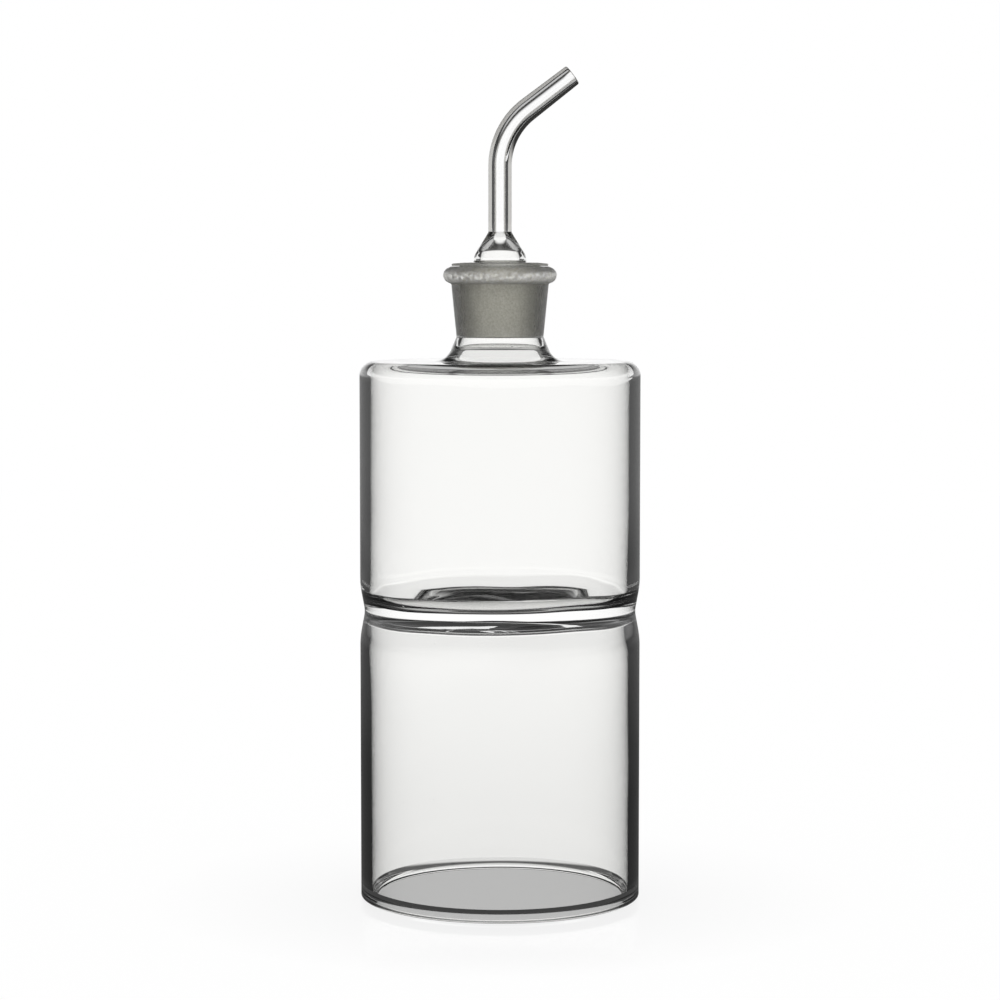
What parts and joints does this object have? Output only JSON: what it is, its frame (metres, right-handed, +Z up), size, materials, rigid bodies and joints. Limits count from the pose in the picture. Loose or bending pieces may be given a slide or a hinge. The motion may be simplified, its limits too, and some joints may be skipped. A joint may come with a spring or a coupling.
{
  "type": "oil and vinegar bottle",
  "caption": "Clear glass oil bottle: round chamber on a hollow open skirt of the same width, short flared neck, and a ground glass stopper with a bent pouring spout.",
  "frame": {"origin": "on the bottle's axis, in the plane its foot stands on", "axes": "+Z up along the bottle's axis; the spout leans towards +X"},
  "size_m": [0.075, 0.075, 0.2219],
  "materials": {
    "clear_glass": "clear blown borosilicate glass, fire-polished",
    "ground_glass": "borosilicate glass, ground matt on the taper and flange, clear on the bulb and spout"
  },
  "bodies": {
    "root": {"bottle": "clear_glass", "pourer": "ground_glass"}
  },
  "joints": []
}
